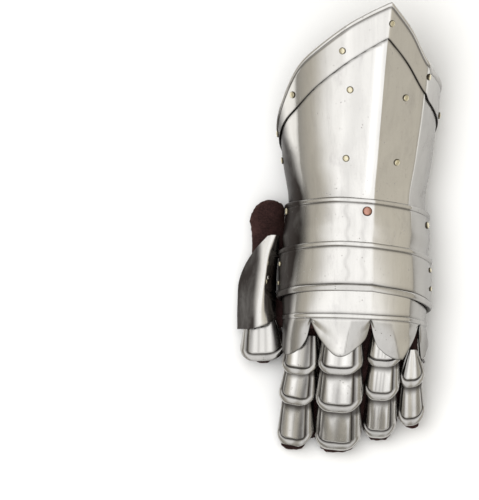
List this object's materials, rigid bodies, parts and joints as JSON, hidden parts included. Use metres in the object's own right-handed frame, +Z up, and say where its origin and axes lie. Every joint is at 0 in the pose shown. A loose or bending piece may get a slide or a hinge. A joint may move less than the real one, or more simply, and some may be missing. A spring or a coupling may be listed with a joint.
{
  "type": "armoured gauntlet",
  "caption": "Left-hand plate gauntlet in the gothic style: pointed riveted cuff, wrist lames, petalled hand plate, finger scales on suede.",
  "frame": {"origin": "centre of the outline seen from above, on the surface that it lies on", "axes": "+X from the thumb side to the little-finger side, +Y from the fingers up the forearm, +Z up"},
  "size_m": [0.1534, 0.337, 0.0932],
  "materials": {
    "polished_steel": "mirror polished with small pits and smudges",
    "brass": "domed and lightly tarnished",
    "copper": "copper, domed and lightly tarnished",
    "suede": "dark brown suede, napped",
    "strap_leather": "smooth, lightly worn"
  },
  "bodies": {
    "cuff": {"cuff_plate": "polished_steel", "cuff_border": "polished_steel", "border_rivet_1": "brass", "border_rivet_2": "brass", "border_rivet_3": "brass", "border_rivet_4": "brass", "border_rivet_5": "brass", "border_rivet_6": "brass", "cuff_rivet_1": "brass", "cuff_rivet_2": "brass", "cuff_rivet_3": "brass", "cuff_rivet_4": "brass", "cuff_rivet_5": "brass", "strap": "strap_leather", "strap_end": "strap_leather", "buckle_frame": "polished_steel", "buckle_prong": "polished_steel", "strap_rivet_thumb_side": "polished_steel", "strap_rivet_little_side": "polished_steel"},
    "wrist": {"wrist_lame": "polished_steel", "copper_rivet": "copper", "wrist_pivot_thumb_side": "brass", "wrist_pivot_little_side": "brass"},
    "second": {"second_lame": "polished_steel", "second_pivot_thumb_side": "brass", "second_pivot_little_side": "brass", "hand_pivot_thumb_side": "brass", "hand_pivot_little_side": "brass"},
    "hand": {"hand_plate": "polished_steel", "index_scale_1": "polished_steel", "index_scale_2": "polished_steel", "index_scale_3": "polished_steel", "middle_scale_1": "polished_steel", "middle_scale_2": "polished_steel", "middle_scale_3": "polished_steel", "ring_scale_1": "polished_steel", "ring_scale_2": "polished_steel", "ring_scale_3": "polished_steel", "little_scale_1": "polished_steel", "little_scale_2": "polished_steel", "thumb_plate": "polished_steel", "thumb_rivet": "polished_steel", "thumb_scale": "polished_steel", "glove_palm": "suede", "glove_thumb": "suede", "glove_index": "suede", "glove_middle": "suede", "glove_ring": "suede", "glove_little": "suede"}
  },
  "joints": [
    {"name": "wrist_hinge", "type": "hinge", "parent": "cuff", "child": "wrist", "pos_m": [0.01395, 0.0056, 0.03845], "axis": [0.9947, -0.1013, 0.0166], "range_deg": [-2, 8]},
    {"name": "second_hinge", "type": "hinge", "parent": "wrist", "child": "second", "pos_m": [0.0125, -0.03085, 0.0393], "axis": [0.999, -0.0429, 0.0091], "range_deg": [-2, 8]},
    {"name": "hand_hinge", "type": "hinge", "parent": "second", "child": "hand", "pos_m": [0.01215, -0.0449, 0.0383], "axis": [0.9989, -0.0397, 0.0235], "range_deg": [-2, 8]}
  ]
}
